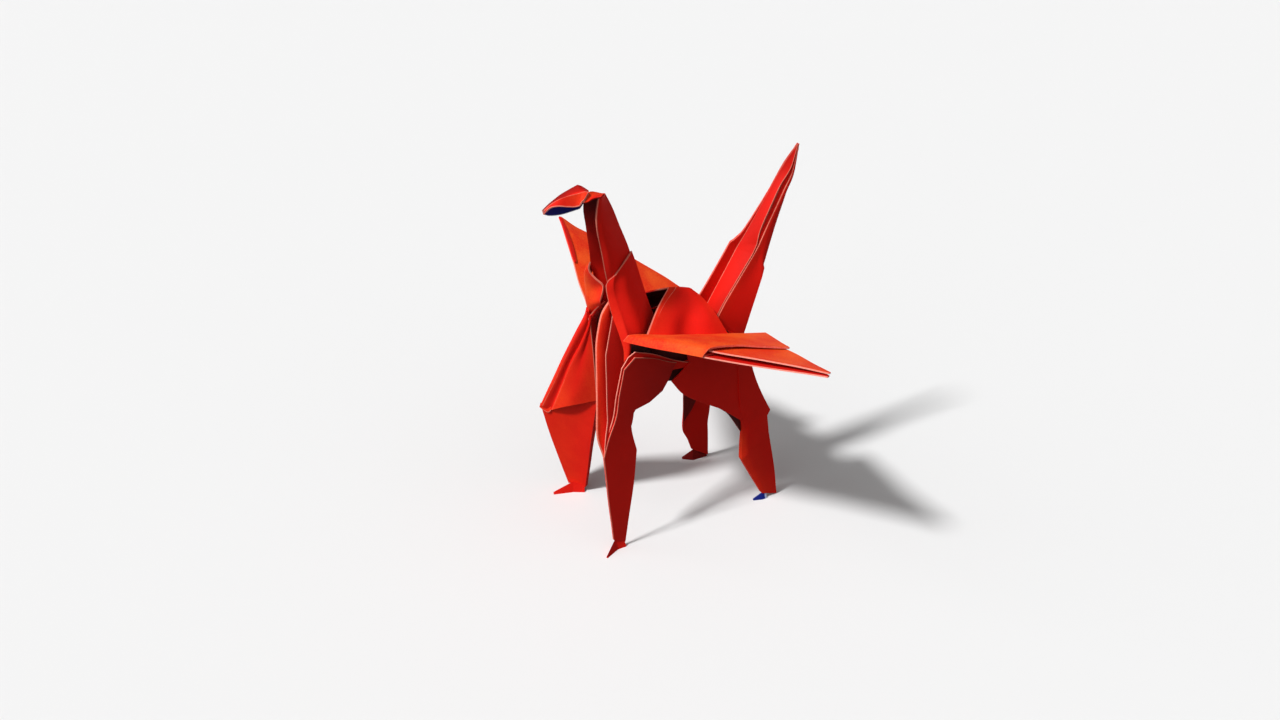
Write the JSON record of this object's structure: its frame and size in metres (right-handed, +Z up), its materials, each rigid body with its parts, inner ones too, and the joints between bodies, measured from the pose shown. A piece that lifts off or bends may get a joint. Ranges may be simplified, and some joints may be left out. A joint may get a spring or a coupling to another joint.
{
  "type": "folded paper crane figure with legs",
  "caption": "Origami crane figure folded from one paper sheet, with hooded head, open neck, humped back, spread wings, raised tail and standing legs with forward toes.",
  "frame": {"origin": "centre of the figure's outline on the surface that it stands on", "axes": "+Z up, the head looks along -Y, +X to the figure's own left side"},
  "size_m": [0.0708, 0.0552, 0.0761],
  "materials": {
    "red_paper": "uncoated matte sheet, vermilion on its outer side and blue on its inner side, with pale raw edges"
  },
  "bodies": {
    "root": {"folded_sheet": "red_paper"}
  },
  "joints": []
}
